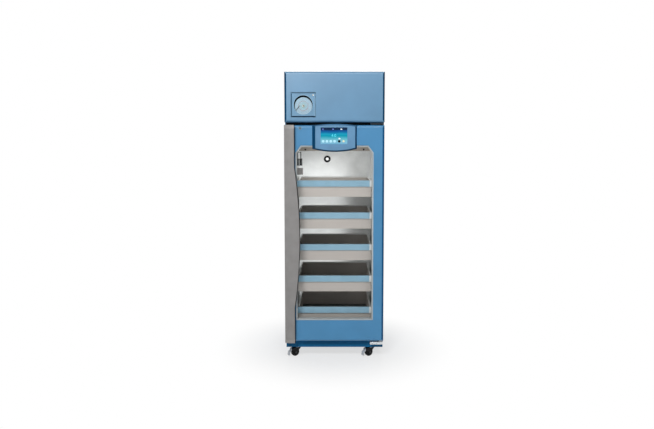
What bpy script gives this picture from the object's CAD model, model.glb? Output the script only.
"""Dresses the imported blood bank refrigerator: finishes, small fittings, printed faces, light and camera."""
import logging
import math
from collections.abc import Callable, Iterable, Iterator, Sequence
from contextlib import contextmanager
from dataclasses import dataclass, field
from enum import Enum

import bmesh
import bpy
from mathutils import Matrix, Vector


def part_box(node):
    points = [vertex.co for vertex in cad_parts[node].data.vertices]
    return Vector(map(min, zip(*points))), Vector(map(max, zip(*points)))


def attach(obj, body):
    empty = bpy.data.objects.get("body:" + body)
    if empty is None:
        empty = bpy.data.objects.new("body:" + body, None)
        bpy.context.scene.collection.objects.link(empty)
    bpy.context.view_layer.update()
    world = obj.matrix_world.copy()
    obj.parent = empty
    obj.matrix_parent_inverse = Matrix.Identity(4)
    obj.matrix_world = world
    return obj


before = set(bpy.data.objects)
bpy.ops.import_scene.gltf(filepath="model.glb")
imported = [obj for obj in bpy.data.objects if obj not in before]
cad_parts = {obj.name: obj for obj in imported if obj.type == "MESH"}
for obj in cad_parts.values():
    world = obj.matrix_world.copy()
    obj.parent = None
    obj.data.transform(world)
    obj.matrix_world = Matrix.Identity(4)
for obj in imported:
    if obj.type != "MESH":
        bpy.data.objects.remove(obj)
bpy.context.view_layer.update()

MM = 0.001
DRAWERS = range(1, 6)
# How far aside an edge turns where its rim begins, where the rim is full, and where it counts as a flat side.
RIM_START, RIM_FULL, FLAT_SIDE = 0.05, 0.18, 0.9985
# Mirror-like share of a rim.
RIM_SPECULAR = 0.1
Point = tuple[float, float, float]
Colour = tuple[float, float, float, float]
Socket = bpy.types.NodeSocket
log = logging.getLogger("refrigerator")


def linear(code: str, level: float = 1.0) -> Colour:
    """Turns an sRGB hex colour into linear light.

    Args:
        code: Colour such as "#7099b9".
        level: Factor on the linear values.

    Returns:
        Red, green, blue and an alpha of 1.
    """
    parts = [int(code[i:i + 2], 16) / 255 for i in (1, 3, 5)]
    red, green, blue = (c / 12.92 if c <= 0.04045 else ((c + 0.055) / 1.055) ** 2.4 for c in parts)
    return red * level, green * level, blue * level, 1.0


def per_mm(size: float) -> float:
    """Texture scale that gives a pattern of this size in millimetres."""
    return 1000.0 / size


def add(tree: bpy.types.NodeTree, kind: str, values: dict | None = None,
        stops: Sequence[tuple[float, Colour]] = (), **settings: object) -> bpy.types.Node:
    """Adds a node with its settings, values and links.

    Args:
        tree: Tree that gets the node.
        kind: Type name of the node.
        values: Value of each input, by name or number; a socket is linked.
        stops: Places and colours of a colour ramp.
        settings: Properties of the node.

    Returns:
        The new node.
    """
    node = tree.nodes.new(kind)
    for key, value in settings.items():
        setattr(node, key, value)
    for key, value in (values or {}).items():
        if isinstance(value, Socket):
            tree.links.new(value, node.inputs[key])
        else:
            node.inputs[key].default_value = value
    if stops:
        ramp = node.color_ramp.elements
        ramp.remove(ramp[1])
        ramp[0].position, ramp[0].color = stops[0]
        for place, colour in stops[1:]:
            ramp.new(place).color = colour
    return node


@dataclass(frozen=True)
class Band:
    """A box in which a finish has another colour.

    Attributes:
        low: Lowest corner.
        high: Highest corner.
        colour: The other colour as sRGB hex.
    """

    low: Point
    high: Point
    colour: str


@dataclass
class Surface:
    """The nodes of one material, and the strokes that the finishes are drawn with.

    Attributes:
        tree: The material's node tree.
        shader: Its Principled shader.
        place: Object coordinates.
        normal: Direction that the surface faces.
    """

    tree: bpy.types.NodeTree
    shader: bpy.types.Node
    place: Socket
    normal: Socket

    def put(self, name: str, value: object) -> None:
        """Sets a constant on one of the shader's inputs, or links a socket to it.

        Args:
            name: Name of the input.
            value: Constant or socket.
        """
        if isinstance(value, Socket):
            self.tree.links.new(value, self.shader.inputs[name])
        else:
            self.shader.inputs[name].default_value = value

    def calc(self, operation: str, *values: float | Socket) -> Socket:
        """Result of a sum on one to three values."""
        return add(self.tree, "ShaderNodeMath", dict(enumerate(values)), operation=operation).outputs["Value"]

    def parts(self, vector: Socket) -> bpy.types.NodeOutputs:
        """X, Y and Z of a vector."""
        return add(self.tree, "ShaderNodeSeparateXYZ", {"Vector": vector}).outputs

    def noise(self, size_mm: float, detail: float = 2.0, place: Socket | None = None) -> Socket:
        """Clouds of a size in millimetres, at the object's own coordinates or at others."""
        spot = self.place if place is None else place
        return add(self.tree, "ShaderNodeTexNoise",
                   {"Vector": spot, "Scale": per_mm(size_mm), "Detail": detail}).outputs["Fac"]

    def waves(self, pitch_mm: float, axis: str, shape: dict[str, float] | None = None) -> Socket:
        """Bands across an axis, with a pitch in millimetres."""
        scale = math.pi / 10 * per_mm(pitch_mm)
        return add(self.tree, "ShaderNodeTexWave", {"Vector": self.place, "Scale": scale, **(shape or {})},
                   wave_type="BANDS", bands_direction=axis).outputs["Fac"]

    def remap(self, value: Socket, low: float, high: float, start: float = 0.0, end: float = 1.0) -> Socket:
        """A value's range from start to end, stretched to low and high."""
        return add(self.tree, "ShaderNodeMapRange", {"Value": value, "From Min": start, "From Max": end,
                                                     "To Min": low, "To Max": high}).outputs["Result"]

    def ramp(self, value: Socket, stops: Sequence[tuple[float, Colour]]) -> Socket:
        """Colours along a value."""
        return add(self.tree, "ShaderNodeValToRGB", {"Fac": value}, stops).outputs["Color"]

    def tone(self, value: Socket, colour: str, *levels: tuple[float, float]) -> None:
        """Gives the shader one colour in lighter and darker levels along a value."""
        self.put("Base Color", self.ramp(value, [(place, linear(colour, level)) for place, level in levels]))

    def gloss(self, value: Socket, low: float, high: float) -> None:
        """Lets the roughness run from low to high along a value."""
        self.put("Roughness", self.remap(value, low, high))

    def relief(self, height: Socket, strength: float, depth: float) -> None:
        """Raises the surface by a height map."""
        bump = add(self.tree, "ShaderNodeBump", {"Height": height, "Strength": strength, "Distance": depth})
        self.put("Normal", bump.outputs["Normal"])

    def within(self, band: Band) -> Socket:
        """Masks the inside of a band's box.

        Args:
            band: The box.

        Returns:
            1 inside the box and 0 outside.
        """
        part = self.parts(self.place)
        near = [self.calc("COMPARE", part[axis], (low + high) / 2, (high - low) / 2)
                for axis, low, high in zip("XYZ", band.low, band.high)]
        return self.calc("MULTIPLY", self.calc("MULTIPLY", near[0], near[1]), near[2])

    def recolour(self, mask: Socket, colour: Colour) -> None:
        """Lays another colour over the finish.

        Args:
            mask: Where the other colour goes.
            colour: The other colour.
        """
        base = self.shader.inputs["Base Color"]
        before = base.links[0].from_socket if base.links else tuple(base.default_value)
        coat = add(self.tree, "ShaderNodeMix", {0: mask, 6: before, 7: colour}, data_type="RGBA")
        self.put("Base Color", coat.outputs[2])


@dataclass(frozen=True)
class Finish:
    """A surface finish, named for the real material.

    Attributes:
        name: Name of the material.
        colour: Main colour as sRGB hex.
        roughness: Roughness of the surface.
        bands: Boxes in which the colour is another one.
        rim: Colour of the edges that turn to the sides, or nothing to leave them.
        rim_below: Whether the edges that turn down have it too.
        specular: Level of the mirror-like share.
    """

    name: str
    colour: str
    roughness: float = 0.4
    bands: tuple[Band, ...] = field(default=(), kw_only=True)
    rim: str = field(default="", kw_only=True)
    rim_below: bool = field(default=False, kw_only=True)
    specular: float = field(default=0.5, kw_only=True)

    def material(self) -> bpy.types.Material:
        """Makes the finish's material the first time, and returns it."""
        made = bpy.data.materials.get(self.name)
        if made is None:
            made = bpy.data.materials.new(self.name)
            made.use_nodes = True
            made.diffuse_color = linear(self.colour)
            tree = made.node_tree
            view = add(tree, "ShaderNodeTexCoord").outputs
            on = Surface(tree, tree.nodes["Principled BSDF"], view["Object"], view["Normal"])
            on.put("Roughness", self.roughness)
            on.put("Specular IOR Level", self.specular)
            self.draw(on)
            if self.rim:
                self.draw_rim(on)
            for band in self.bands:
                on.recolour(on.within(band), linear(band.colour))
        return made

    def draw_rim(self, on: Surface) -> None:
        """Lays the rim's colour over the edges that turn aside, not over the flat sides, and dulls them.

        Args:
            on: Surface to draw on.
        """
        turn = on.parts(on.normal)
        most = on.calc("ABSOLUTE", turn["X"])
        if self.rim_below:
            most = on.calc("MAXIMUM", most, on.calc("MULTIPLY", turn["Z"], -1.0))
        aside = on.remap(most, 0.0, 1.0, RIM_START, RIM_FULL)
        edge = on.calc("MULTIPLY", aside, on.calc("LESS_THAN", most, FLAT_SIDE))
        on.recolour(edge, linear(self.rim))
        on.put("Specular IOR Level", on.remap(edge, self.specular, RIM_SPECULAR))

    def draw(self, on: Surface) -> None:
        """Adds the finish's own nodes.

        Args:
            on: Surface to draw on.
        """
        raise NotImplementedError


@dataclass(frozen=True)
class PowderCoat(Finish):
    """Powder-coated sheet steel: baked paint with a satin sheen and a fine orange peel.

    Attributes:
        peel_mm: Size of the orange peel. Real peel is about 1 mm; it is drawn coarser so that it shows.
    """

    roughness: float = 0.36
    peel_mm: float = 2.5

    def draw(self, on: Surface) -> None:
        """Mottles the coat a little over a hand's width, and adds the peel."""
        on.tone(on.noise(180, 3.0), self.colour, (0.3, 0.94), (0.7, 1.05))
        peel = on.noise(self.peel_mm)
        on.gloss(peel, self.roughness - 0.06, self.roughness + 0.08)
        on.relief(peel, 0.25, 0.12 * MM)


@dataclass(frozen=True)
class GalvanisedSteel(Finish):
    """Hot-dip galvanised sheet: a dull zinc skin with spangles.

    Attributes:
        spangle_mm: Size of a spangle, as on real sheet.
        bend: How far the spangles' borders wander, in metres.
    """

    roughness: float = 0.42
    spangle_mm: float = 14.0
    bend: float = 6.0 * MM

    def draw(self, on: Surface) -> None:
        """Gives each spangle its own tone and gloss."""
        on.put("Metallic", 0.85)
        cloud = add(on.tree, "ShaderNodeTexNoise", {"Vector": on.place, "Scale": per_mm(9)})
        shift = add(on.tree, "ShaderNodeVectorMath", {0: cloud.outputs["Color"], 1: (self.bend,) * 3},
                    operation="MULTIPLY")
        spot = add(on.tree, "ShaderNodeVectorMath", {0: on.place, 1: shift.outputs["Vector"]}, operation="ADD")
        spangle = add(on.tree, "ShaderNodeTexVoronoi", {"Vector": spot.outputs["Vector"],
                                                        "Scale": per_mm(self.spangle_mm)})
        part = add(on.tree, "ShaderNodeSeparateColor", {"Color": spangle.outputs["Color"]}).outputs
        on.tone(part["Red"], self.colour, (0.0, 0.86), (0.6, 1.0), (1.0, 1.08))
        on.gloss(part["Green"], self.roughness - 0.05, self.roughness + 0.07)


@dataclass(frozen=True)
class BrushedSteel(Finish):
    """Stainless sheet with a number 4 polish: short parallel scratches along the sheet.

    Attributes:
        metallic: Share of bare metal; a lacquered sheet has less.
        grain_mm: Width of a scratch. Real ones are about 0.1 mm; they are drawn wider so that they show.
        length_mm: Length of a scratch.
        contrast: How much the scratches differ in tone.
    """

    roughness: float = 0.34
    metallic: float = 1.0
    grain_mm: float = 1.2
    length_mm: float = 90.0
    contrast: float = 0.1

    def draw(self, on: Surface) -> None:
        """Stretches a noise along X for the scratches."""
        on.put("Metallic", self.metallic)
        stretch = add(on.tree, "ShaderNodeMapping", {"Vector": on.place, "Scale": (
            per_mm(self.length_mm), per_mm(self.grain_mm), per_mm(self.grain_mm))})
        grain = add(on.tree, "ShaderNodeTexNoise", {"Vector": stretch.outputs["Vector"], "Scale": 1.0,
                                                    "Detail": 4.0}).outputs["Fac"]
        on.tone(grain, self.colour, (0.3, 1 - self.contrast), (0.7, 1 + self.contrast))
        on.gloss(grain, self.roughness - 0.1, self.roughness + 0.12)
        on.relief(grain, 0.15, 0.05 * MM)


@dataclass(frozen=True)
class MouldedPlastic(Finish):
    """Injection-moulded ABS: an even colour with the fine spark-eroded grain of its mould.

    Attributes:
        grain_mm: Size of the mould's grain. Real grain is about 0.3 mm; it is drawn coarser so that it shows.
    """

    roughness: float = 0.45
    grain_mm: float = 1.1

    def draw(self, on: Surface) -> None:
        """Adds the grain, and a slow drift of tone from the flow of the melt."""
        on.tone(on.noise(70), self.colour, (0.3, 0.93), (0.7, 1.06))
        grain = on.noise(self.grain_mm)
        on.gloss(grain, self.roughness - 0.05, self.roughness + 0.1)
        on.relief(grain, 0.3, 0.08 * MM)


@dataclass(frozen=True)
class Rubber(Finish):
    """Vulcanised rubber or soft vinyl: nearly black and dull, with a bloom of pale dust.

    Attributes:
        bloom_mm: Size of the bloom's clouds.
    """

    roughness: float = 0.72
    bloom_mm: float = 16.0
    specular: float = field(default=0.15, kw_only=True)

    def draw(self, on: Surface) -> None:
        """Clouds the surface with bloom."""
        bloom = on.noise(self.bloom_mm, 5.0)
        on.tone(bloom, self.colour, (0.35, 0.8), (0.75, 1.7))
        on.relief(bloom, 0.2, 0.1 * MM)


@dataclass(frozen=True)
class ClearGlass(Finish):
    """Float glass or clear acrylic: polished, faintly green, with the odd wiped smear.

    Attributes:
        cover: Share of the light that the pane keeps back.
    """

    roughness: float = 0.03
    cover: float = 0.06

    def draw(self, on: Surface) -> None:
        """Sets the pane's thinness and its smears."""
        on.put("Base Color", linear(self.colour))
        on.put("Alpha", self.cover)
        on.put("IOR", 1.52)
        on.put("Roughness", on.remap(on.noise(120, 4.0), self.roughness, self.roughness + 0.06, 0.4, 0.8))


@dataclass(frozen=True)
class DrawnCopper(Finish):
    """Soft-drawn copper tube: warm metal with brown oxide clouds."""

    roughness: float = 0.33

    def draw(self, on: Surface) -> None:
        """Clouds the metal with oxide."""
        on.put("Metallic", 1.0)
        oxide = on.noise(24, 6.0)
        on.put("Base Color", on.ramp(oxide, [(0.35, linear(self.colour)), (0.6, linear(self.colour, 0.75)),
                                             (0.8, linear("#5b3a26"))]))
        on.gloss(oxide, self.roughness - 0.1, self.roughness + 0.25)


@dataclass(frozen=True)
class FinStock(Finish):
    """Aluminium fin stock: bright thin leaves edge on, with dark air between them.

    Attributes:
        pitch_mm: Spacing of the fins. Real ones stand about 2 mm apart; they are drawn wider so that they show.
    """

    roughness: float = 0.4
    pitch_mm: float = 4.0

    def draw(self, on: Surface) -> None:
        """Draws the leaves as bands across X, with a little unevenness."""
        on.put("Metallic", 0.7)
        leaf = on.waves(self.pitch_mm, "X", {"Distortion": 0.4, "Detail": 1.0, "Detail Scale": 0.4})
        on.tone(leaf, self.colour, (0.25, 0.12), (0.55, 0.8), (1.0, 1.0))
        on.relief(leaf, 0.8, 1.0 * MM)


@dataclass(frozen=True)
class RigidFoam(Finish):
    """Polyurethane foam: cream, closed cells of about a millimetre with a few larger voids."""

    roughness: float = 0.85

    def draw(self, on: Surface) -> None:
        """Draws the cells, coarser than real so that they show."""
        cell = add(on.tree, "ShaderNodeTexVoronoi", {"Vector": on.place, "Scale": per_mm(4)}).outputs["Distance"]
        on.tone(cell, self.colour, (0.1, 1.0), (0.7, 0.8))
        on.relief(cell, 0.5, 0.8 * MM)


@dataclass(frozen=True)
class LampDiffuser(Finish):
    """Opal acrylic over a row of light-emitting diodes: white, brighter in front of each diode.

    Attributes:
        pitch_mm: Spacing of the diodes.
        power: Strength of the glow.
    """

    roughness: float = 0.3
    pitch_mm: float = 33.0
    power: float = 5.0

    def draw(self, on: Surface) -> None:
        """Makes the diodes show as soft spots along X."""
        on.put("Emission Strength", self.power)
        glow = on.ramp(on.waves(self.pitch_mm, "X"), [(0.0, linear(self.colour, 0.8)), (1.0, linear(self.colour))])
        on.put("Base Color", glow)
        on.put("Emission Color", glow)


@dataclass(frozen=True)
class Backlit(Finish):
    """Ink on a backlit panel: an even colour that glows a little.

    Attributes:
        power: Strength of the glow.
    """

    roughness: float = 0.25
    power: float = 0.7
    specular: float = field(default=0.1, kw_only=True)

    def draw(self, on: Surface) -> None:
        """Draws the panel's fine pixel rows over the colour, coarser than real so that they show."""
        on.put("Emission Strength", self.power)
        on.put("Emission Color", on.ramp(on.waves(1.5, "Z"), [(0.0, linear(self.colour, 0.92)),
                                                              (1.0, linear(self.colour))]))
        on.put("Base Color", linear(self.colour, 0.25))


@dataclass(frozen=True)
class TouchScreen(Finish):
    """Backlit touch screen: navy bar on top, then blue that pales to sky colour at the bottom.

    Attributes:
        power: Strength of the glow.
        low: Height of the screen's lower edge, in metres.
        high: Height of its upper edge.
        drift: How far the colours wander up and down, in metres.
    """

    roughness: float = 0.18
    power: float = 0.75
    specular: float = field(default=0.1, kw_only=True)
    low: float = 0.0
    high: float = 1.0
    drift: float = 10.0 * MM

    def draw(self, on: Surface) -> None:
        """Runs the colours down the screen."""
        on.put("Base Color", linear("#04101c"))
        on.put("Emission Strength", self.power)
        wave = on.calc("MULTIPLY_ADD", on.noise(60), self.drift, on.parts(on.place)["Z"])
        fall = on.remap(wave, 0.0, 1.0, self.high + self.drift / 2, self.low + self.drift / 2)
        on.put("Emission Color", on.ramp(fall, [
            (0.0, linear("#00143f")), (0.15, linear("#0a3051")), (0.19, linear("#0058ac")), (0.27, linear("#0572b1")),
            (0.33, linear("#0b94c8")), (0.40, linear("#15b3d9")), (0.52, linear("#00abc5")), (0.64, linear("#57c8df")),
            (0.77, linear("#87d9eb")), (0.90, linear("#94d8f6")), (1.0, linear("#7fc8ea"))]))


@dataclass(frozen=True)
class ChartPaper(Finish):
    """Printed chart paper: white with fine green rings and spokes, and the pen's red trace.

    Attributes:
        middle: Middle of the chart, in metres.
        ring_mm: Spacing of the rings.
        spokes: Number of hour spokes.
        trace_mm: Radius of the trace.
        wander_mm: How far the trace wanders in and out.
    """

    roughness: float = 0.75
    middle: Point = (0.0, 0.0, 0.0)
    ring_mm: float = 5.0
    spokes: int = 56
    trace_mm: float = 33.0
    wander_mm: float = 5.0

    def draw(self, on: Surface) -> None:
        """Prints the rings, the spokes and the trace round the middle."""
        back = tuple(-c for c in self.middle)
        own = add(on.tree, "ShaderNodeMapping", {"Vector": on.place, "Location": back}).outputs["Vector"]
        part = on.parts(own)
        flat = add(on.tree, "ShaderNodeCombineXYZ", {"X": part["X"], "Y": part["Z"]})
        reach = add(on.tree, "ShaderNodeVectorMath", {0: flat.outputs["Vector"]}, operation="LENGTH").outputs["Value"]
        turn = on.calc("ARCTAN2", part["Z"], part["X"])
        near_ring = on.calc("LESS_THAN", on.calc("PINGPONG", reach, self.ring_mm * MM), 0.35 * MM)
        spoke = on.calc("MULTIPLY", on.calc("PINGPONG", turn, math.pi / self.spokes), reach)
        near_spoke = on.calc("LESS_THAN", spoke, 0.3 * MM)
        path = on.calc("MULTIPLY_ADD", on.noise(9, 2.0, own), self.wander_mm * MM,
                       (self.trace_mm - self.wander_mm / 2) * MM)
        near_trace = on.calc("COMPARE", reach, path, 0.6 * MM)
        on.put("Base Color", on.ramp(on.calc("MAXIMUM", near_ring, near_spoke),
                                     [(0.0, linear(self.colour)), (1.0, linear("#86b3a6"))]))
        on.recolour(near_trace, linear("#b23a3a"))


class Facing(Enum):
    """Side that a fitting's top faces, as the turn about X that takes +Z to it, in degrees."""

    FRONT = 90.0
    REAR = -90.0
    UP = 0.0
    DOWN = 180.0

    def turn(self) -> Matrix:
        """Rotation that takes +Z to this side."""
        return Matrix.Rotation(math.radians(self.value), 4, "X")


@contextmanager
def editing(piece: bpy.types.Object) -> Iterator[None]:
    """Opens one piece in edit mode, with nothing else selected.

    Args:
        piece: Piece to shape.
    """
    bpy.ops.object.select_all(action="DESELECT")
    piece.select_set(True)
    bpy.context.view_layer.objects.active = piece
    bpy.ops.object.mode_set(mode="EDIT")
    yield
    bpy.ops.object.mode_set(mode="OBJECT")


def settle(name: str) -> bpy.types.Object:
    """Names the primitive just added, and puts its place and size into its mesh.

    Args:
        name: Name of the piece.

    Returns:
        The piece, at the origin.
    """
    piece = bpy.context.object
    piece.name = piece.data.name = name
    bpy.ops.object.transform_apply(location=True, rotation=True, scale=True)
    return piece


def block(name: str, low: Sequence[float], high: Sequence[float]) -> bpy.types.Object:
    """Adds a cube between two corners.

    Args:
        name: Name of the piece.
        low: Lowest corner, in metres.
        high: Highest corner.

    Returns:
        The piece.
    """
    bpy.ops.object.select_all(action="DESELECT")
    low, high = Vector(low), Vector(high)
    bpy.ops.mesh.primitive_cube_add(size=1.0, location=(low + high) / 2, scale=high - low)
    return settle(name)


def disc(name: str, middle: Sequence[float], radius: float, depth: float, facing: Facing,
         sides: int = 32) -> bpy.types.Object:
    """Adds a cylinder that stands on a point and rises towards one side.

    Args:
        name: Name of the piece.
        middle: Middle of its foot.
        radius: Radius.
        depth: Height of the cylinder.
        facing: Side that its top faces.
        sides: Number of sides.

    Returns:
        The piece.
    """
    bpy.ops.object.select_all(action="DESELECT")
    bpy.ops.mesh.primitive_cylinder_add(vertices=sides, radius=radius, depth=depth, location=(0.0, 0.0, depth / 2))
    piece = settle(name)
    piece.data.transform(Matrix.Translation(Vector(middle)) @ facing.turn())
    return piece


def pick(piece: bpy.types.Object, test: Callable[[Vector, Vector], bool], kind: str = "FACE") -> None:
    """Selects faces by middle and normal, or edges by middle and direction.

    Args:
        piece: Piece in edit mode.
        test: Says whether to select the face or edge.
        kind: FACE or EDGE.
    """
    bpy.ops.mesh.select_mode(type=kind)
    bpy.ops.mesh.select_all(action="DESELECT")
    mesh = bmesh.from_edit_mesh(piece.data)
    if kind == "FACE":
        for face in mesh.faces:
            face.select_set(test(face.calc_center_median(), face.normal))
    else:
        for edge in mesh.edges:
            start, end = (v.co for v in edge.verts)
            edge.select_set(test((start + end) / 2, (end - start).normalized()))
    bmesh.update_edit_mesh(piece.data)


def press(piece: bpy.types.Object, facing: Facing, *insets: tuple[float, float]) -> None:
    """Insets a piece's face on one side, and again inside that for every further inset.

    Args:
        piece: Piece to shape.
        facing: Side that the face looks to.
        insets: Width and depth of each inset; a depth below 0 is sunk.
    """
    side = facing.turn().to_3x3() @ Vector((0.0, 0.0, 1.0))
    with editing(piece):
        pick(piece, lambda middle, normal: normal.dot(side) > 0.99)
        for width, depth in insets:
            bpy.ops.mesh.inset(thickness=width, depth=depth)


def soften(piece: bpy.types.Object, width: float, segments: int = 2, angle: float = 40.0) -> None:
    """Bevels a piece's sharp edges with a modifier, and applies it.

    Args:
        piece: Piece to soften.
        width: Width of the bevel, in metres.
        segments: Segments of the bevel.
        angle: Least angle of an edge that is bevelled, in degrees.
    """
    bpy.ops.object.select_all(action="DESELECT")
    piece.select_set(True)
    bpy.context.view_layer.objects.active = piece
    bevel = piece.modifiers.new("soft_edges", "BEVEL")
    bevel.width, bevel.segments, bevel.limit_method = width, segments, "ANGLE"
    bevel.angle_limit = math.radians(angle)
    bpy.ops.object.modifier_apply(modifier=bevel.name)


def repeat(piece: bpy.types.Object, poses: Iterable[Matrix]) -> list[bpy.types.Object]:
    """Copies a piece to several poses, each copy with its own mesh, and removes the model.

    Args:
        piece: Piece modelled at the origin.
        poses: Where the copies go, and how they are turned.

    Returns:
        The copies.
    """
    copies = []
    for pose in poses:
        copy = bpy.data.objects.new(piece.name, piece.data.copy())
        copy.data.transform(pose)
        bpy.context.scene.collection.objects.link(copy)
        copies.append(copy)
    bpy.data.objects.remove(piece)
    return copies


def spread(piece: bpy.types.Object, places: Iterable[Sequence[float]], facing: Facing = Facing.UP) -> bpy.types.Object:
    """Copies a fitting to several places and joins the copies.

    Args:
        piece: Fitting modelled at the origin with its top towards +Z.
        places: Where the copies go.
        facing: Side that they face.

    Returns:
        The joined piece.
    """
    name = piece.name
    return join(name, repeat(piece, [Matrix.Translation(Vector(place)) @ facing.turn() for place in places]))


def join(name: str, parts: Sequence[bpy.types.Object]) -> bpy.types.Object:
    """Joins several meshes into one piece.

    Args:
        name: Name of the joined piece.
        parts: Pieces to join.

    Returns:
        The joined piece.
    """
    bpy.ops.object.select_all(action="DESELECT")
    for part in parts:
        part.select_set(True)
    bpy.context.view_layer.objects.active = parts[0]
    if len(parts) > 1:
        bpy.ops.object.join()
    parts[0].name = parts[0].data.name = name
    return parts[0]


def fit(piece: bpy.types.Object, body: str, finish: Finish, smooth: float = 35.0) -> None:
    """Finishes a piece: outward faces, smooth shading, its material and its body.

    Args:
        piece: Piece to finish.
        body: Body that it rides on.
        finish: Its surface finish.
        smooth: Greatest angle that is shaded smooth, in degrees.
    """
    with editing(piece):
        bpy.ops.mesh.select_all(action="SELECT")
        bpy.ops.mesh.remove_doubles(threshold=1e-6)
        bpy.ops.mesh.normals_make_consistent(inside=False)
    bpy.ops.object.shade_smooth_by_angle(angle=math.radians(smooth))
    piece.data.materials.clear()
    piece.data.materials.append(finish.material())
    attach(piece, body)
    log.info("%s on %s: %s", piece.name, body, finish.name)


def pan_head(name: str, radius: float = 4.0 * MM, height: float = 2.2 * MM) -> bpy.types.Object:
    """Models a pan-head screw with a socket, its head resting on z = 0.

    Args:
        name: Name of the piece.
        radius: Radius of the head.
        height: Height of the head.

    Returns:
        The screw's head.
    """
    foot = 0.4 * MM
    screw = disc(name, (0.0, 0.0, -foot), radius, height + foot, Facing.UP, 20)
    with editing(screw):
        pick(screw, lambda middle, along: middle.z > height * 0.9, "EDGE")
        bpy.ops.mesh.bevel(offset=height * 0.45, segments=3, affect="EDGES")
        pick(screw, lambda middle, normal: normal.z > 0.99 and middle.z > height * 0.9)
        bpy.ops.mesh.inset(thickness=radius * 0.22)
        bpy.ops.mesh.inset(thickness=radius * 0.04, depth=-height * 0.5)
    return screw


def hex_head(name: str, across: float, height: float) -> bpy.types.Object:
    """Models a hexagon bolt head on its washer, resting on z = 0.

    Args:
        name: Name of the piece.
        across: Width across the head's corners.
        height: Height of the head.

    Returns:
        The bolt's head.
    """
    foot = 0.4 * MM
    washer = disc(name, (0.0, 0.0, -foot), across * 0.75, foot + 1.2 * MM, Facing.UP, 24)
    press(washer, Facing.UP, (across * 0.06, 0.2 * MM))
    head = disc("head", (0.0, 0.0, 1.0 * MM), across / 2, height, Facing.UP, 6)
    soften(head, height * 0.16, 1, 20.0)
    return join(name, [washer, head])


# Baked paint on pressed sheet: a satin mid blue, darker and duller where the sheet rolls away at its edges.
BLUE_DOOR = PowderCoat("powder_coated_steel_blue", "#4386b4", 0.3, rim="#04507e")
# The same paint a shade paler, so that the header reads as a piece of its own.
BLUE_HEADER = PowderCoat("powder_coated_steel_light_blue", "#608daf", 0.3, rim="#003a5c")
# A deep, nearly matt blue that makes the base recede under the door.
BLUE_BASE = PowderCoat("powder_coated_steel_deep_blue", "#0d5f8c", 0.5, specular=0.15)
# White paint with a soft sheen, on the rails and the door's inner sheet.
WHITE_COAT = PowderCoat("powder_coated_steel_white", "#e9edec")
# A warm sand grey, duller than the white round it.
COOLER_COAT = PowderCoat("powder_coated_aluminium_sand", "#b9afa4", 0.45)
# Dipped and stoved enamel: glossy black with long, lazy ripples.
BLACK_ENAMEL = PowderCoat("stoved_enamel_black", "#16171a", 0.3, 6.0)
# Black enamel with a bright plated crown where the fork turns.
FORK_ENAMEL = PowderCoat("stoved_enamel_black_plated_crown", "#0e0f11", 0.35, 6.0, specular=0.2,
                         bands=(Band((-1.0, -1.0, 0.0645), (1.0, 1.0, 0.08), "#d0d4d6"),))
# Bare zinc skin: cool grey in soft angular spangles.
ZINC = GalvanisedSteel("galvanised_steel", "#b4b9bd")
# Bright zinc plating on small hardware: a clean sparkle with fine turning marks.
PLATED = BrushedSteel("zinc_plated_steel", "#c3c8cc", 0.3, 1.0, 0.8, 4.0)
# Pale brushed steel below and a blackened bracket above.
HINGE_STEEL = BrushedSteel("stainless_steel_hinge", "#dfe2e3", 0.35, 0.3,
                           bands=(Band((-1.0, -1.0, 1.0), (1.0, 1.0, 2.0), "#101214"),))
# Satin die casting that takes up the blue round it.
LOCK_CASE = BrushedSteel("zinc_die_cast_blue_grey", "#5d7f92", 0.4, 0.2, 0.6, 3.0)
# The same casting, darker, so that the plug shows in its case.
LOCK_CORE = BrushedSteel("zinc_die_cast_dark", "#3a5566", 0.4, 0.2, 0.6, 3.0)
# Polished plating over brass: warm, small and bright.
NICKEL = BrushedSteel("nickel_plated_brass", "#cfccc4", 0.22, 1.0, 0.6, 3.0)
# Drawn ABS sheet: clean white with a soft shine and hardly any grain.
LINER = MouldedPlastic("vacuum_formed_abs_white", "#eff2f2", 0.38, 3.0)
# Plain mid-grey moulding with an even grain.
GREY_ABS = MouldedPlastic("moulded_abs_grey", "#8f8d8b")
# A slightly paler grey that sets the caps off from the grip.
CAP_ABS = MouldedPlastic("moulded_abs_cap_grey", "#93908e", 0.45)
# Blue rim in front, dead black inside, so that the chart stands out.
CASE_ABS = MouldedPlastic("moulded_abs_blue_dark_inside", "#5f8cac", 0.4,
                          bands=(Band((-0.3011, -0.3635, 1.7234), (-0.1299, -0.3335, 1.8946), "#020408"),))
# A pale blue ring that catches the light round the chart.
PALE_ABS = MouldedPlastic("moulded_abs_pale_blue", "#8fb6cf", 0.35)
# Fine-grained warm grey that spreads its highlight along the grip.
HANDLE_ABS = MouldedPlastic("moulded_abs_warm_grey", "#878584", 0.5)
# Blue face with a dark navy rim that draws the outline of the display.
BEZEL_ABS = MouldedPlastic("moulded_abs_two_tone_blue", "#5687ad", 0.36, rim="#0d456a", rim_below=True)
# Smooth sky-blue extrusion with a white end.
STRIP_ABS = MouldedPlastic("extruded_abs_sky_blue", "#96c0d6", 0.35,
                           bands=(Band((0.2505, -1.0, 0.0), (0.3, 1.0, 2.0), "#eef2f2"),))
# Pale grey nylon, the only light spot on a caster.
PEDAL_NYLON = MouldedPlastic("moulded_nylon_pale_grey", "#c2c6cb", 0.4)
# Rolled black vinyl that shines a little at a low angle.
MAT_VINYL = MouldedPlastic("calendered_vinyl_black", "#121311", 0.32, 2.0)
# Glass-filled black with a dull, slightly gritty face.
BLACK_NYLON = MouldedPlastic("glass_filled_nylon_black", "#17181a", 0.5)
# Waxy white plastic.
WHITE_POLY = MouldedPlastic("polypropylene_white", "#e8ebea", 0.4)
# Smoky, almost black bottles with a waxy shine.
SMOKE_POLY = MouldedPlastic("polypropylene_smoke_black", "#1c1f21", 0.35)
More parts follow.
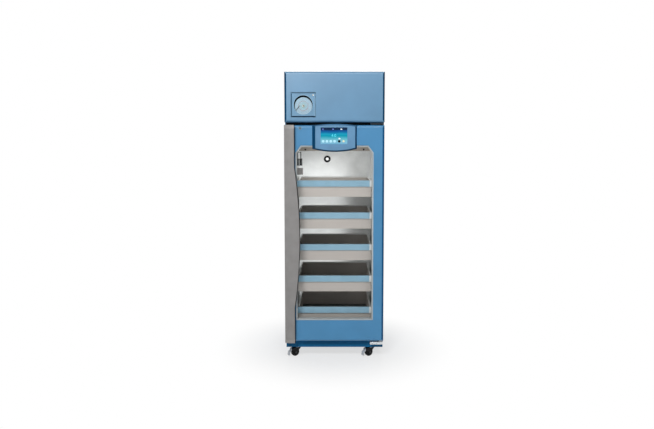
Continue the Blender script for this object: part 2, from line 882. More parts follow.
# A velvet black that gives nothing back.
BLACK_FLOCK = Rubber("flocked_black", "#020305", 0.95, 3.0, specular=0.02)
# Matt black with a trace of grey bloom.
BLACK_RUBBER = Rubber("nitrile_rubber_black", "#17181a")
# Even pale grey silicone, soft and without shine.
PALE_RUBBER = MouldedPlastic("silicone_rubber_grey", "#b4b9b9", 0.55, 2.0)
# Dark grey, supple and dull.
GASKET_VINYL = Rubber("soft_vinyl_grey", "#2b2d2f", 0.6)
# Dead black tread with a little dust.
TYRE = Rubber("tyre_rubber_black", "#0b0c0d", 0.62, 7.0)
# Clear panes that only take a little light and shine at a low angle.
PANE = ClearGlass("float_glass", "#16211f", 0.03, 0.02)
# Clear sheet, a touch softer than glass.
ACRYLIC = ClearGlass("clear_acrylic", "#1a2226", 0.05, 0.02)
# Bright salmon metal with brown patches.
COPPER = DrawnCopper("soft_drawn_copper", "#b9754a")
# Close bright lines with black between them.
FINS = FinStock("aluminium_fin_stock", "#c5cacd")
# Cream cells, matt and crumbly.
FOAM = RigidFoam("polyurethane_foam", "#e6d6a6")
# An even white glow with a row of soft spots.
LAMP = LampDiffuser("opal_acrylic_lamp", "#fbfdff", 0.3, 33.0, 3.0)
# Lit marks in white.
INK_WHITE = Backlit("screen_ink_white", "#e4f3fb", 0.25, 0.9)
# The reading's lit cyan.
INK_CYAN = Backlit("screen_ink_cyan", "#62ecfb", 0.25, 0.9)
# Lit keys in pale blue.
INK_PALE = Backlit("screen_ink_pale_blue", "#b5e6f7", 0.25, 0.85)
# A lit key in pale yellow.
INK_YELLOW = Backlit("screen_ink_yellow", "#e6e6bd", 0.25, 0.85)
# Dim lit marks in violet.
INK_VIOLET = Backlit("screen_ink_violet", "#6f86d8", 0.25, 0.8)
# An unlit key, black on the bright panel.
INK_BLACK = Backlit("screen_ink_black", "#010203", 0.25, 0.0)


NODE_FINISHES: dict[str, Finish] = {
    "base_frame": BLUE_BASE, "outer_shell": BLUE_DOOR, "rear_panel": ZINC, "foam_insulation": FOAM,
    "inner_liner": LINER, "machine_deck": ZINC, "compressor": BLACK_ENAMEL, "condenser_coil": FINS,
    "fan_shroud": BLACK_NYLON, "condenser_fan": BLACK_NYLON, "refrigerant_lines": COPPER, "control_box": GREY_ABS,
    "power_switch": BLACK_NYLON, "cooler_housing": COOLER_COAT, "evaporator_coil": FINS, "cooler_fan": BLACK_NYLON,
    "light_strip": LAMP, "drawer_rails": WHITE_COAT, "hinge_brackets": HINGE_STEEL, "port_grommet": BLACK_RUBBER,
    "probe_leads": BLACK_RUBBER, "probe_bottles": SMOKE_POLY, "sensor_housing": GREY_ABS, "door_skin": BLUE_DOOR,
    "door_inner_panel": WHITE_COAT, "window_seal": PALE_RUBBER, "glass_panes": PANE, "door_gasket": GASKET_VINYL,
    "door_handle": HANDLE_ABS, "display_bezel": BEZEL_ABS, "lock_body": LOCK_CASE, "lock_plug": LOCK_CORE,
    "header_cover": BLUE_HEADER, "recorder_case": CASE_ABS, "recorder_window": ACRYLIC,
    "pen_arm": BLACK_NYLON, "caster_plates": PLATED, "drawer_grip": STRIP_ABS,
    "caster_fork": FORK_ENAMEL, "caster_wheel": TYRE, "brake_pedal": PEDAL_NYLON,
}


def ring(name: str, middle: Sequence[float], radius: float, bore: float, depth: float, facing: Facing,
         sides: int = 48) -> bpy.types.Object:
    """Models a flat ring: a disc whose two ends are inset to the bore and bridged.

    Args:
        name: Name of the piece.
        middle: Middle of its foot.
        radius: Outer radius.
        bore: Radius of the bore.
        depth: Height of the ring.
        facing: Side that its top faces.
        sides: Number of sides.

    Returns:
        The ring.
    """
    piece = disc(name, (0.0, 0.0, 0.0), radius, depth, Facing.UP, sides)
    with editing(piece):
        pick(piece, lambda middle, normal: abs(normal.z) > 0.99)
        bpy.ops.mesh.inset(thickness=radius - bore)
        bpy.ops.mesh.bridge_edge_loops()
    soften(piece, min(depth, radius - bore) * 0.25)
    piece.data.transform(Matrix.Translation(Vector(middle)) @ facing.turn())
    return piece


def frame_ring(name: str, low: Sequence[float], high: Sequence[float], width: float) -> bpy.types.Object:
    """Models an upright rectangular frame: a block whose front and rear are inset and bridged.

    Args:
        name: Name of the piece.
        low: Lowest corner.
        high: Highest corner.
        width: Width of the frame's four sides.

    Returns:
        The frame.
    """
    piece = block(name, low, high)
    with editing(piece):
        pick(piece, lambda middle, normal: abs(normal.y) > 0.99)
        bpy.ops.mesh.inset(thickness=width)
        bpy.ops.mesh.bridge_edge_loops()
    return piece


def tile(name: str, low: Sequence[float], high: Sequence[float], across: int, corner: float,
         edge: float = 0.0) -> bpy.types.Object:
    """Models a plate with round corners.

    Args:
        name: Name of the piece.
        low: Lowest corner.
        high: Highest corner.
        across: Axis through the plate, 0 to 2.
        corner: Radius of the four corners.
        edge: Width of a bevel round its faces.

    Returns:
        The plate.
    """
    piece = block(name, low, high)
    with editing(piece):
        pick(piece, lambda middle, along: abs(along[across]) > 0.99, "EDGE")
        bpy.ops.mesh.bevel(offset=corner, segments=5, affect="EDGES")
    if edge:
        soften(piece, edge, 2, 60.0)
    return piece


def steps(start: float, end: float, count: int) -> list[float]:
    """Even steps from a start to an end, both included."""
    return [start + (end - start) * i / (count - 1) for i in range(count)]


@dataclass
class DoorTrim:
    """Trim on the door: end caps and bead of the handle, the gasket's lip and the inner panel's screws.

    Attributes:
        cap: Length of a handle's end cap.
        proud: How far a cap stands out round the handle.
        bead: How far the bead shows beside the grip, and where it starts and ends behind the grip's front.
        lip: Width of the gasket's lip.
        lip_inset: Distance of the lip from the gasket's edge.
        rows: Screws up each side of the inner panel.
        screw_inset: Distance of the screws from the panel's sides, and from its ends.
    """

    cap: float = 24.0 * MM
    proud: float = 0.6 * MM
    bead: tuple[float, float, float] = (5.0 * MM, 9.0 * MM, 16.0 * MM)
    lip: float = 6.0 * MM
    lip_inset: float = 5.0 * MM
    rows: int = 8
    screw_inset: tuple[float, float] = (13.0 * MM, 40.0 * MM)

    def handle_slice(self, name: str, normal: Point, cuts: Sequence[tuple[float, bool]]) -> bpy.types.Object:
        """Cuts a slice from a copy of the handle's mesh.

        Args:
            name: Name of the slice.
            normal: Direction across the cuts.
            cuts: Place of each cut along it, and whether what lies before the cut goes.

        Returns:
            The slice.
        """
        part = bpy.data.objects.new(name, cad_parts["door_handle"].data.copy())
        bpy.context.scene.collection.objects.link(part)
        with editing(part):
            bpy.ops.mesh.select_mode(type="VERT")
            for place, before in cuts:
                bpy.ops.mesh.select_all(action="SELECT")
                bpy.ops.mesh.remove_doubles(threshold=1e-5)
                bpy.ops.mesh.bisect(plane_co=Vector(normal) * place, plane_no=normal, use_fill=True,
                                    clear_inner=before, clear_outer=not before)
            bpy.ops.mesh.select_all(action="SELECT")
            bpy.ops.mesh.normals_make_consistent(inside=False)
        return part

    def end_cap(self, name: str, cut: float, upper: bool) -> None:
        """Cuts a cap from the handle's outline and lets it out a little.

        Args:
            name: Name of the cap.
            cut: Height of its inner edge.
            upper: Whether it is the upper cap.
        """
        cap = self.handle_slice(name, (0.0, 0.0, 1.0), [(cut, upper)])
        with editing(cap):
            bpy.ops.mesh.select_all(action="SELECT")
            bpy.ops.transform.shrink_fatten(value=self.proud)
        fit(cap, "door", CAP_ABS)

    def handle_bead(self) -> None:
        """Lays the black bead behind the grip's inner edge: a slice of the handle's outline, moved aside."""
        width, start, end = self.bead
        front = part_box("door_handle")[0][1]
        bead = self.handle_slice("handle_bead", (0.0, 1.0, 0.0), [(front + start, True), (front + end, False)])
        bead.data.transform(Matrix.Translation((width, 0.0, 0.0)))
        fit(bead, "door", BLACK_RUBBER)

    def gasket_lip(self) -> None:
        """Runs the soft sealing lip round the middle of the gasket's face."""
        low, high = (Vector(c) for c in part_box("door_gasket"))
        inset, face = self.lip_inset, high.y
        lip = frame_ring("gasket_lip", (low.x + inset, face - 0.6 * MM, low.z + inset),
                         (high.x - inset, face + 0.2 * MM, high.z - inset), self.lip)
        soften(lip, 0.25 * MM)
        fit(lip, "door", BLACK_RUBBER)

    def panel_screws(self) -> None:
        """Sets a screw every hand's width up both sides of the inner panel."""
        low, high = (Vector(c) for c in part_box("door_inner_panel"))
        edge, end = self.screw_inset
        heights = steps(low.z + end, high.z - end, self.rows)
        places = [(x, high.y, z) for x in (low.x + edge, high.x - edge) for z in heights]
        fit(spread(pan_head("door_panel_screws"), places, Facing.REAR), "door", PLATED)

    def build(self) -> None:
        """Builds the trim in order."""
        low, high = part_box("door_handle")
        self.end_cap("handle_cap_low", low[2] + self.cap, False)
        self.end_cap("handle_cap_top", high[2] - self.cap, True)
        self.handle_bead()
        self.gasket_lip()
        self.panel_screws()


@dataclass
class ScreenPicture:
    """What the touch screen shows: a status row, the reading in degrees and a row of keys.

    Attributes:
        ink: How far the printed layer stands on the glass.
        row_z: Height of the status row.
        read_z: Height of the reading's middle.
        key_z: Height of the keys.
        keys_x: Places of the pale keys across.
        read_x: Middle of the reading across.
        digit: Height of the reading's digits.
    """

    ink: float = 0.4 * MM
    row_z: float = 1.641
    read_z: float = 1.597
    key_z: float = 1.559
    keys_x: tuple[float, ...] = (-0.078, -0.052, -0.026, 0.0)
    read_x: float = -0.005
    digit: float = 27.0 * MM

    def plates(self, name: str, places: Sequence[tuple[float, float]], width: float, height: float,
               finish: Finish) -> None:
        """Prints one rounded patch at every place.

        Args:
            name: Name of the printed piece.
            places: Middle of each patch across and in height.
            width: Width.
            height: Height.
            finish: Its ink.
        """
        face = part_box("display_screen")[0][1]
        patch = tile(name, (-width / 2, -self.ink, -height / 2), (width / 2, self.ink / 2, height / 2), 1,
                     min(width, height) * 0.4)
        fit(spread(patch, [(x, face, z) for x, z in places]), "door", finish)

    def spot(self, name: str, x: float, z: float, radius: float, finish: Finish) -> None:
        """Prints one round key with a sunk middle.

        Args:
            name: Name of the key.
            x: Middle across.
            z: Middle in height.
            radius: Radius.
            finish: Its ink.
        """
        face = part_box("display_screen")[0][1]
        key = disc(name, (x, face + self.ink / 2, z), radius, self.ink * 1.5, Facing.FRONT, 32)
        press(key, Facing.FRONT, (radius * 0.2, 0.1 * MM))
        fit(key, "door", finish)

    def reading(self) -> None:
        """Prints the temperature as digits."""
        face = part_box("display_screen")[0][1]
        bpy.ops.object.select_all(action="DESELECT")
        bpy.ops.object.text_add(location=(self.read_x, face - self.ink / 4, self.read_z),
                                rotation=(math.radians(90), 0.0, 0.0))
        text = bpy.context.object
        text.data.body = "4.0"
        text.data.align_x, text.data.align_y = "CENTER", "CENTER"
        text.data.size, text.data.extrude = self.digit, self.ink * 0.6
        bpy.ops.object.convert(target="MESH")
        fit(settle("screen_reading"), "door", INK_CYAN)

    def build(self) -> None:
        """Prints the rows from top to bottom."""
        self.plates("screen_menu_bars", [(-0.0795, self.row_z + dz) for dz in (-4.0 * MM, 0.0, 4.0 * MM)], 11.0 * MM,
                    2.2 * MM, INK_VIOLET)
        self.spot("screen_status_mark", -0.0098, self.row_z, 5.0 * MM, INK_VIOLET)
        self.plates("screen_battery_mark", [(0.0465, self.row_z)], 13.0 * MM, 8.0 * MM, INK_WHITE)
        self.reading()
        self.plates("screen_keys", [(x, self.key_z) for x in self.keys_x], 18.0 * MM, 17.0 * MM, INK_PALE)
        self.plates("screen_alarm_mark", [(0.034, self.key_z + 18.0 * MM)], 14.0 * MM, 9.0 * MM, INK_WHITE)
        self.spot("screen_key_black", 0.032, self.key_z, 9.0 * MM, INK_BLACK)
        self.spot("screen_key_yellow", 0.062, self.key_z, 7.0 * MM, INK_YELLOW)


@dataclass
class RecorderTrim:
    """Trim of the chart recorder: its black back plate, the ring round its opening, its latch and the chart's nut.

    Attributes:
        latch: Place of the latch across and in height.
        ring_width: Width of the ring round the opening.
        opening: Radius of the opening.
    """

    latch: tuple[float, float] = (-0.1475, 1.8755)
    ring_width: float = 2.6 * MM
    opening: float = 65.0 * MM

    def back_plate(self) -> None:
        """Lays the plate on the floor of the case, behind the chart."""
        low, high = (Vector(c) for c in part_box("recorder_case"))
        floor, wall, flange = high.y - 3.0 * MM, 3.6 * MM, 3.0 * MM
        plate = tile("recorder_back_plate", (low.x + flange + wall, floor - 0.8 * MM, low.z + flange + wall),
                     (high.x - flange - wall, floor + 0.3 * MM, high.z - flange - wall), 1, 4.0 * MM, 0.2 * MM)
        fit(plate, "header", BLACK_FLOCK)

    def opening_ring(self) -> None:
        """Rings the round opening in the recorder's door."""
        low, high = (Vector(c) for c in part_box("recorder_door"))
        trim = ring("recorder_opening_ring", ((low.x + high.x) / 2, low.y + 0.3 * MM, (low.z + high.z) / 2),
                    self.opening + self.ring_width, self.opening, 1.5 * MM, Facing.FRONT, 72)
        fit(trim, "recorder_cover", PALE_ABS)

    def door_latch(self) -> None:
        """Turns a small latch knob for the recorder's door."""
        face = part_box("recorder_door")[0][1]
        knob = disc("recorder_latch", (self.latch[0], face + 0.4 * MM, self.latch[1]), 4.6 * MM, 6.0 * MM,
                    Facing.FRONT, 24)
        press(knob, Facing.FRONT, (1.0 * MM, 0.6 * MM), (1.6 * MM, -0.8 * MM))
        soften(knob, 0.4 * MM)
        fit(knob, "recorder_cover", NICKEL)

    def chart_nut(self) -> None:
        """Puts a knurled nut on the chart's hub, clear of the spindle."""
        low, high = (Vector(c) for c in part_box("chart_disc"))
        nut = ring("chart_nut", ((low.x + high.x) / 2, low.y + 0.3 * MM, (low.z + high.z) / 2), 8.0 * MM, 4.6 * MM,
                   2.6 * MM, Facing.FRONT, 24)
        fit(nut, "chart", NICKEL, 20.0)

    def build(self) -> None:
        """Builds the recorder's trim in order."""
        self.back_plate()
        self.opening_ring()
        self.door_latch()
        self.chart_nut()


@dataclass
class CabinetFront:
    """Fittings on the cabinet's face: the header's seal and the bolts of the lower hinge bracket.

    Attributes:
        seal_margin: Distance of the seal from the door and from the header.
        seal_depth: Depth of the seal in front of the face frame.
        seal_left: Where the seal begins at the left.
        bolts_at: Distance of the bolts from the bracket's left end.
        bolt_z: Height of the bolts.
    """

    seal_margin: float = 1.0 * MM
    seal_depth: float = 3.0 * MM
    seal_left: float = -340.0 * MM
    bolts_at: tuple[float, float] = (18.0 * MM, 46.0 * MM)
    bolt_z: float = 124.5 * MM

    def header_seal(self) -> None:
        """Runs a black rubber seal over the face frame in the gap under the header."""
        door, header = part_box("door_skin")[1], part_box("header_cover")[0]
        frame_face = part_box("base_frame")[0][1]
        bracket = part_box("hinge_brackets")[0][0]
        seal = block("header_seal", (self.seal_left, frame_face - self.seal_depth, door[2] + self.seal_margin),
                     (bracket - 3.0 * MM, frame_face + 0.4 * MM, header[2] - self.seal_margin))
        press(seal, Facing.FRONT, (4.0 * MM, -1.2 * MM))
        soften(seal, 0.6 * MM)
        fit(seal, "cabinet", BLACK_RUBBER)

    def bracket_bolts(self) -> None:
        """Bolts the lower bracket through its lip."""
        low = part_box("hinge_brackets")[0]
        places = [(low[0] + x, low[1], self.bolt_z) for x in self.bolts_at]
        fit(spread(hex_head("bracket_bolts", 8.0 * MM, 3.5 * MM), places, Facing.FRONT), "cabinet",
            PLATED)

    def build(self) -> None:
        """Builds the fittings in order."""
        self.header_seal()
        self.bracket_bolts()


@dataclass
class InteriorFittings:
    """Fittings inside: cooler screws, lamp caps, slots in the standards, bottle caps and the sensor's cover.

    Attributes:
        slot_pitch: Distance between the slots of a standard.
        slot_size: Width and height of a slot.
        rail_drop: Height of a drawer's upper edge over its rail.
        rail_gap: Least distance of a slot's middle from a rail.
        screw_x: Distance of the cooler's screws from the middle.
    """

    slot_pitch: float = 25.0 * MM
    slot_size: tuple[float, float] = (5.0 * MM, 13.0 * MM)
    rail_drop: float = 62.0 * MM
    rail_gap: float = 28.0 * MM
    screw_x: float = 210.0 * MM

    def cooler_screws(self) -> None:
        """Drives two black screws into the cooler's front lip."""
        low = Vector(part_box("cooler_housing")[0])
        places = [(x, low.y, low.z + 10.0 * MM) for x in (-self.screw_x, self.screw_x)]
        fit(spread(pan_head("cooler_screws", 6.5 * MM, 3.0 * MM), places, Facing.FRONT), "cabinet",
            BLACK_NYLON)

    def lamp_caps(self) -> None:
        """Closes the lamp with a cap at each end."""
        low, high = (Vector(c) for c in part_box("light_strip"))
        rim, half = 0.8 * MM, (high - low) / 2
        cap = block("lamp_caps", (-6.0 * MM, -half.y - rim, -2 * half.z - rim), (6.0 * MM, half.y + rim, 0.0))
        soften(cap, 1.0 * MM, 3)
        places = [(x, low.y + half.y, high.z) for x in (low.x, high.x)]
        fit(spread(cap, places), "cabinet", WHITE_POLY)

    def standard_slots(self) -> None:
        """Lays a ladder of dark slot plates down each upright standard, between the rails."""
        low, high = (Vector(c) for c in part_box("drawer_rails"))
        inner = high.x - 5.0 * MM
        rails = [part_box(f"drawer_box_{i}")[1][2] - self.rail_drop for i in DRAWERS]
        fronts = (low.y + 25.0 * MM, high.y - 25.0 * MM)
        count = int((high.z - low.z - 40.0 * MM) / self.slot_pitch)
        levels = [low.z + 20.0 * MM + i * self.slot_pitch for i in range(count + 1)]
        free = [z for z in levels if all(abs(z - rail) > self.rail_gap for rail in rails)]
        width, height = self.slot_size
        slot = tile("standard_slots", (-0.3 * MM, -width / 2, -height / 2), (0.3 * MM, width / 2, height / 2), 0,
                    width * 0.45)
        places = [(x, y, z) for x in (-inner, inner) for y in fronts for z in free]
        fit(spread(slot, places), "cabinet", BLACK_NYLON)

    def probe_caps(self) -> None:
        """Screws a cap on each probe bottle."""
        low, high = (Vector(c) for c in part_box("probe_bottles"))
        middle_y = (low.y + high.y) / 2
        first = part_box("probe_leads")[0][0] + 3.5 * MM
        cap = ring("probe_bottle_caps", (0.0, 0.0, 0.0), 11.2 * MM, 4.2 * MM, 9.6 * MM, Facing.UP, 32)
        places = [(x, middle_y, high.z - 9.0 * MM) for x in (first, first + 25.0 * MM)]
        fit(spread(cap, places), "cabinet", BLACK_NYLON, 25.0)

    def sensor_face(self) -> None:
        """Sets a vented cover on the front of the sensor housing."""
        low, high = (Vector(c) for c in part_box("sensor_housing"))
        left = high.x - 42.0 * MM
        cover = tile("sensor_cover", (left + 3.0 * MM, low.y - 2.0 * MM, low.z + 3.0 * MM),
                     (high.x - 3.0 * MM, low.y + 0.4 * MM, high.z - 3.0 * MM), 1, 4.0 * MM)
        press(cover, Facing.FRONT, (4.0 * MM, -0.8 * MM))
        soften(cover, 0.4 * MM)
        fit(cover, "cabinet", CAP_ABS)

    def build(self) -> None:
        """Builds the fittings in order."""
        self.cooler_screws()
        self.lamp_caps()
        self.standard_slots()
        self.probe_caps()
        self.sensor_face()


@dataclass
class DrawerMats:
    """Ribbed mats on the floors of the drawers.

    Attributes:
        pockets: Pockets across and from front to back.
        rib: Width of the ribs between the pockets.
        thick: Thickness of a mat.
        width: Width of a mat.
        clear: Distance of a mat from the grip in front and from the tray's rear edge.
        level: Height of a mat over the tray's underside.
        sunk: Depth of the pockets.
    """

    pockets: tuple[int, int] = (10, 9)
    rib: float = 4.0 * MM
    thick: float = 0.7 * MM
    width: float = 510.0 * MM
    clear: tuple[float, float] = (4.0 * MM, 5.0 * MM)
    level: float = 2.5 * MM
    sunk: float = 0.3 * MM

    def mat(self) -> bpy.types.Object:
        """Models one mat for the uppermost drawer: a grid whose cells are sunk, then given a thickness."""
        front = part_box("drawer_grip_1")[1][1] + self.clear[0]
        low, high = (Vector(c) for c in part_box("drawer_box_1"))
        back = high.y - self.clear[1]
        bpy.ops.object.select_all(action="DESELECT")
        bpy.ops.mesh.primitive_grid_add(x_subdivisions=self.pockets[0], y_subdivisions=self.pockets[1], size=1.0,
                                        location=(0.0, (front + back) / 2, low.z + self.level))
        bpy.context.object.scale = (self.width, back - front, 1.0)
        mat = settle("drawer_mat")
        with editing(mat):
            bpy.ops.mesh.select_all(action="SELECT")
            bpy.ops.mesh.inset(thickness=self.rib / 2, use_individual=True)
            bpy.ops.transform.translate(value=(0.0, 0.0, -self.sunk))
        shell = mat.modifiers.new("thickness", "SOLIDIFY")
        shell.thickness, shell.offset = self.thick, -1.0
        bpy.ops.object.modifier_apply(modifier=shell.name)
        return mat

    def build(self) -> None:
        """Lays a copy of the mat in every drawer."""
        floors = [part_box(f"drawer_box_{i}")[0][2] for i in DRAWERS]
        copies = repeat(self.mat(), [Matrix.Translation((0.0, 0.0, z - floors[0])) for z in floors])
        for i, copy in zip(DRAWERS, copies):
            copy.name = copy.data.name = f"drawer_mat_{i}"
            fit(copy, f"drawer_{i}", MAT_VINYL)


@dataclass
class CasterHardware:
    """Bolts that hold the casters' plates, and nuts on their axles.

    Attributes:
        yaw: Direction that the casters trail in, in degrees.
        trail: Distance of the axle from the swivel.
        axle_z: Height of the axles.
        half: Half the width over the fork's legs.
        bolt_at: Distance of the bolts from a plate's middle, along each side.
        plate_half: Half the length of a plate's side.
    """

    yaw: float = 210.0
    trail: float = 22.0 * MM
    axle_z: float = 30.0 * MM
    half: float = 17.0 * MM
    bolt_at: float = 26.0 * MM
    plate_half: float = 35.0 * MM

    def plate_bolts(self, corners: dict[str, Vector]) -> None:
        """Hangs four bolts under each plate.

        Args:
            corners: Swivel of each caster, by corner.
        """
        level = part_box("caster_plates")[1][2] - 5.0 * MM
        places = [(c.x + sx * self.bolt_at, c.y + sy * self.bolt_at, level)
                  for c in corners.values() for sx in (-1, 1) for sy in (-1, 1)]
        fit(spread(hex_head("caster_plate_bolts", 9.0 * MM, 3.0 * MM), places, Facing.DOWN), "cabinet",
            PLATED)

    def axle_nuts(self, corner: str, swivel: Vector) -> None:
        """Puts a nut on both ends of one axle.

        Args:
            corner: Name of the corner.
            swivel: Place of the swivel.
        """
        caster = Matrix.Translation(swivel) @ Matrix.Rotation(math.radians(self.yaw), 4, "Z")
        poses = [caster @ Matrix.Translation((self.trail, side * self.half, self.axle_z)) @ facing.turn()
                 for side, facing in ((-1.0, Facing.FRONT), (1.0, Facing.REAR))]
        nuts = repeat(hex_head("nut", 11.0 * MM, 4.0 * MM), poses)
        fit(join(f"axle_nuts_{corner}", nuts), f"caster_{corner}", BLACK_ENAMEL)

    def build(self) -> None:
        """Fits the hardware to all four casters."""
        low, high = (Vector(c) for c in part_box("caster_plates"))
        half = self.plate_half
        xs, ys = (low.x + half, high.x - half), (low.y + half, high.y - half)
        corners = {"fl": Vector((xs[0], ys[0], 0.0)), "fr": Vector((xs[1], ys[0], 0.0)),
                   "rl": Vector((xs[0], ys[1], 0.0)), "rr": Vector((xs[1], ys[1], 0.0))}
        self.plate_bolts(corners)
        for corner, swivel in corners.items():
            self.axle_nuts(corner, swivel)


@dataclass
class MachineTrim:
    """Trim of the machine bay and the rear: screws, foot bolts, terminal cover, inlet pins and switch marks.

    Attributes:
        screw_rows: Screws up each side of the rear panel.
        can_at: Middle of the compressor's can from its far corner, and the top of its feet from its foot.
        feet_at: Distance of the foot bolts from the can's middle, across and in depth.
        inlet_at: Middle of the inlet from the control box's middle across, and from its foot.
        recess: Depth of the inlet and the switch in the box's rear.
        switch_from_inlet: Distance of the switch from the inlet.
        rocker_tilt: Slope of the switch's lower half, in degrees.
    """

    screw_rows: int = 10
    can_at: Point = (98.0 * MM, 80.0 * MM, 22.0 * MM)
    feet_at: tuple[float, float] = (86.0 * MM, 68.0 * MM)
    inlet_at: tuple[float, float] = (28.0 * MM, 65.0 * MM)
    recess: float = 4.0 * MM
    switch_from_inlet: float = 56.0 * MM
    rocker_tilt: float = -108.7

    def rear_screws(self) -> None:
        """Screws the rear panel to the cabinet's flanges, and the top sheet along its rear edge."""
        low, high = (Vector(c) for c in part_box("rear_panel"))
        edge = 12.0 * MM
        places = [(x, high.y, z) for x in (low.x + edge, high.x - edge)
                  for z in steps(low.z + 30.0 * MM, high.z - 30.0 * MM, self.screw_rows)]
        fit(spread(pan_head("rear_panel_screws"), places, Facing.REAR), "cabinet", PLATED)
        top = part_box("outer_shell")[1][2]
        places = [(x, high.y - 14.0 * MM, top) for x in steps(-0.3, 0.3, 5)]
        fit(spread(pan_head("top_screws"), places, Facing.UP), "cabinet", PLATED)

    def compressor_fittings(self) -> None:
        """Adds the terminal cover on the can and the bolts through its feet."""
        low, high = (Vector(c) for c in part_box("compressor"))
        middle = Vector((high.x - self.can_at[0], high.y - self.can_at[1], low.z + self.can_at[2]))
        cover = block("terminal_cover", (middle.x + 70.0 * MM, middle.y - 26.0 * MM, middle.z + 22.0 * MM),
                      (middle.x + 94.0 * MM, middle.y + 26.0 * MM, middle.z + 84.0 * MM))
        with editing(cover):
            pick(cover, lambda place, normal: normal.x > 0.99)
            bpy.ops.mesh.inset(thickness=7.0 * MM, depth=3.0 * MM)
        soften(cover, 3.0 * MM, 3)
        fit(cover, "cabinet", BLACK_NYLON)
        reach_x, reach_y = self.feet_at
        places = [(middle.x + sx * reach_x, middle.y + sy * reach_y, middle.z) for sx in (-1, 1) for sy in (-1, 1)]
        fit(spread(hex_head("compressor_bolts", 13.0 * MM, 6.0 * MM), places), "cabinet", PLATED)

    def control_fittings(self) -> None:
        """Adds the control box's lid screws, the inlet's pins and the switch's marks."""
        low, high = (Vector(c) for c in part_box("control_box"))
        edge = 9.0 * MM
        places = [(x, y, high.z) for x in (low.x + edge, high.x - edge) for y in (low.y + edge, high.y - edge)]
        fit(spread(pan_head("control_box_screws"), places), "cabinet", PLATED)
        mid_x, level = (low.x + high.x) / 2 + self.inlet_at[0], low.z + self.inlet_at[1]
        rear = high.y - self.recess
        pin = tile("inlet_pins", (-1.0 * MM, -12.4 * MM, -2.0 * MM), (1.0 * MM, 0.0, 2.0 * MM), 1, 0.5 * MM, 0.3 * MM)
        places = [(mid_x + dx * MM, rear, level + dz * MM) for dx, dz in ((-7, -1), (0, 3), (7, -1))]
        fit(spread(pin, places), "cabinet", NICKEL)
        x = mid_x - self.switch_from_inlet
        bar = tile("switch_mark_on", (x - 0.8 * MM, rear + 4.6 * MM, level + 3.2 * MM),
                   (x + 0.8 * MM, rear + 5.3 * MM, level + 8.2 * MM), 1, 0.3 * MM)
        fit(bar, "mains_switch", WHITE_POLY)
        mark = ring("switch_mark_off", (0.0, 0.0, 0.0), 2.8 * MM, 1.9 * MM, 0.6 * MM, Facing.UP, 24)
        mark.data.transform(Matrix.Translation((x, rear + 2.6 * MM, level - 7.1 * MM))
                            @ Matrix.Rotation(math.radians(self.rocker_tilt), 4, "X"))
        fit(mark, "mains_switch", WHITE_POLY)

    def build(self) -> None:
        """Builds the trim in order."""
        self.rear_screws()
        self.compressor_fittings()
        self.control_fittings()


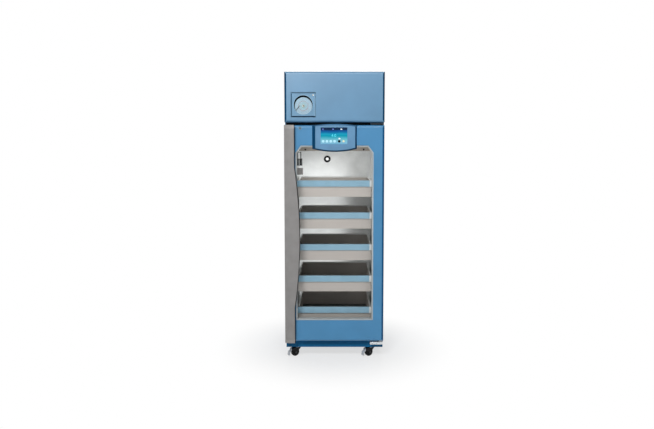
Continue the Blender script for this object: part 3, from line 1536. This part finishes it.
@dataclass
class Studio:
    """Floor, light and camera.

    Attributes:
        eye: Place of the camera.
        lens: Focal length on a sensor 36 mm wide.
        tilt: Angle of the view below level, in degrees.
        shift_x: Sideways shift of the frame.
        shift_y: Upward shift of the frame.
        shade: Where the floor's shadow begins to fade and where it ends, and how white it is at the middle.
        surround: Level of the surround for the rays that don't see the background.
    """

    eye: Point = (0.0, -4.610, 1.551)
    lens: float = 33.666
    tilt: float = 4.597
    shift_x: float = -0.0115
    shift_y: float = -0.035
    shade: Point = (0.35, 0.95, 0.66)
    surround: float = 0.16

    def camera(self) -> None:
        """Sets up the camera at the photograph's viewing angle."""
        data = bpy.data.cameras.new("camera")
        data.lens, data.sensor_width = self.lens, 36.0
        data.shift_x, data.shift_y = self.shift_x, self.shift_y
        camera = bpy.data.objects.new("camera", data)
        camera.location = self.eye
        camera.rotation_euler = (math.radians(90 - self.tilt), 0.0, 0.0)
        bpy.context.scene.collection.objects.link(camera)
        bpy.context.scene.camera = camera

    def background_rays(self, tree: bpy.types.NodeTree) -> Socket:
        """Masks the rays that see the white background: from the camera, off metal and through glass.

        Args:
            tree: Tree of the floor's material or of the world.

        Returns:
            1 for those rays and 0 for the others.
        """
        rays = add(tree, "ShaderNodeLightPath").outputs
        bare = add(tree, "ShaderNodeMath", {0: rays["Is Camera Ray"], 1: rays["Is Glossy Ray"]}, operation="MAXIMUM")
        return add(tree, "ShaderNodeMath", {0: bare.outputs["Value"], 1: rays["Is Transmission Ray"]},
                   operation="MAXIMUM").outputs["Value"]

    def floor(self) -> None:
        """Lays a plain pale floor that looks white to the camera and keeps the shadow."""
        bpy.ops.object.select_all(action="DESELECT")
        bpy.ops.mesh.primitive_plane_add(size=60.0, location=(0.0, 0.0, 0.0))
        floor = bpy.context.object
        floor.name = "floor"
        paint = bpy.data.materials.new("studio_floor")
        paint.use_nodes = True
        tree = paint.node_tree
        shader = tree.nodes["Principled BSDF"]
        shader.inputs["Base Color"].default_value = linear("#f2f2f2")
        shader.inputs["Roughness"].default_value = 0.9
        place = add(tree, "ShaderNodeTexCoord").outputs["Object"]
        reach = add(tree, "ShaderNodeVectorMath", {0: place}, operation="LENGTH").outputs["Value"]
        near, end, middle = self.shade
        far = add(tree, "ShaderNodeMapRange", {"Value": reach, "From Min": near, "From Max": end, "To Min": middle},
                  interpolation_type="SMOOTHSTEP").outputs["Result"]
        seen = self.background_rays(tree)
        share = add(tree, "ShaderNodeMath", {0: far, 1: seen}, operation="MULTIPLY").outputs["Value"]
        white = add(tree, "ShaderNodeEmission", {"Color": (1.0, 1.0, 1.0, 1.0), "Strength": 1.0})
        mix = add(tree, "ShaderNodeMixShader", {0: share, 1: shader.outputs["BSDF"], 2: white.outputs["Emission"]})
        tree.links.new(mix.outputs["Shader"], tree.nodes["Material Output"].inputs["Surface"])
        floor.data.materials.append(paint)

    def lamp(self, name: str, place: Point, aim: Point, size: tuple[float, float], power: float) -> None:
        """Hangs one soft rectangular lamp.

        Args:
            name: Name of the lamp.
            place: Where it hangs.
            aim: Point that it faces.
            size: Width and height.
            power: Power in watts.
        """
        data = bpy.data.lights.new(name, "AREA")
        data.shape, data.size, data.size_y, data.energy = "RECTANGLE", size[0], size[1], power
        lamp = bpy.data.objects.new(name, data)
        lamp.location = place
        lamp.rotation_euler = (Vector(aim) - Vector(place)).to_track_quat("-Z", "Y").to_euler()
        bpy.context.scene.collection.objects.link(lamp)

    def light(self) -> None:
        """Sets an even white surround, three soft lamps outside and three weak ones for the glow inside."""
        world = bpy.data.worlds.new("studio")
        world.use_nodes = True
        tree = world.node_tree
        level = add(tree, "ShaderNodeMapRange", {"Value": self.background_rays(tree), "To Min": self.surround})
        surround = tree.nodes["Background"]
        surround.inputs["Color"].default_value = (1.0, 1.0, 1.0, 1.0)
        tree.links.new(level.outputs["Result"], surround.inputs["Strength"])
        bpy.context.scene.world = world
        self.lamp("key", (-1.0, -4.5, 3.4), (0.0, -0.35, 1.35), (1.0, 0.9), 110.0)
        self.lamp("front", (0.4, -4.6, 3.9), (0.0, -0.35, 1.0), (1.4, 1.0), 66.0)
        self.lamp("back", (0.0, 3.0, 3.2), (0.0, 0.3, 1.2), (2.5, 1.5), 50.0)
        self.lamp("interior_top", (0.0, -0.195, 1.475), (0.0, 0.30, 1.25), (0.46, 0.02), 0.95)
        self.lamp("interior_back", (-0.09, 0.262, 0.83), (-0.09, 1.0, 0.83), (0.36, 1.14), 0.85)
        self.lamp("interior_side", (0.1, 0.05, 0.83), (1.0, 0.05, 0.83), (0.3, 1.14), 0.2)
        bpy.context.scene.view_settings.view_transform = "Standard"


def dress_nodes() -> None:
    """Gives every CAD node its finish."""
    screen_low, screen_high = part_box("display_screen")
    chart_low, chart_high = (Vector(c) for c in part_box("chart_disc"))
    low, high = (Vector(c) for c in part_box("drawer_box_1"))
    half, lip = high.x - 14.7 * MM, 9.0 * MM
    tops = [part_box(f"drawer_box_{i}")[1][2] for i in DRAWERS]
    rims = tuple(Band((-half, low.y + lip, top - lip), (half, high.y, top + lip), "#f4f5f4") for top in tops)
    tray = BrushedSteel("stainless_steel_drawer_sheet", "#c4beb8", 0.42, 0.35, contrast=0.04, bands=rims)
    door_low, door_high = (Vector(c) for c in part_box("recorder_door"))
    bevel = Vector((7.0 * MM, 1.0, 7.0 * MM))
    sides = [Band(tuple(door_low - bevel), (door_low.x + bevel.x, 0.0, door_high.z), "#34607d"),
             Band((door_high.x - bevel.x, -1.0, door_low.z), tuple(door_high + bevel), "#9dc4dc"),
             Band((door_low.x, -1.0, door_high.z - bevel.z), tuple(door_high + bevel), "#65879f"),
             Band(tuple(door_low - bevel), (door_high.x, 0.0, door_low.z + bevel.z), "#0d2f49")]
    own = {
        "recorder_door": MouldedPlastic("moulded_abs_blue_recorder", "#5f8cac", 0.4, bands=tuple(sides)),
        **{f"drawer_box_{i}": tray for i in DRAWERS},
        "display_screen": TouchScreen("touch_screen", "#15b3d9", low=screen_low[2], high=screen_high[2]),
        "chart_disc": ChartPaper("printed_chart_paper", "#b4cfe4", middle=tuple((chart_low + chart_high) / 2)),
    }
    for name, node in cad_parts.items():
        finish = own.get(name) or NODE_FINISHES.get(name) or NODE_FINISHES[name.rsplit("_", 1)[0]]
        for place in node.material_slots:
            place.material = finish.material()
        log.info("%s: %s", name, finish.name)


def main() -> None:
    """Builds the scene in order."""
    logging.basicConfig(level=logging.INFO, format="%(name)s: %(message)s")
    studio = Studio()
    studio.camera()
    studio.floor()
    studio.light()
    dress_nodes()
    for assembly in (DoorTrim(), ScreenPicture(), RecorderTrim(), CabinetFront(), InteriorFittings(), DrawerMats(),
                     CasterHardware(), MachineTrim()):
        assembly.build()
        log.info("%s done", type(assembly).__name__)


if __name__ == "__main__":
    main()
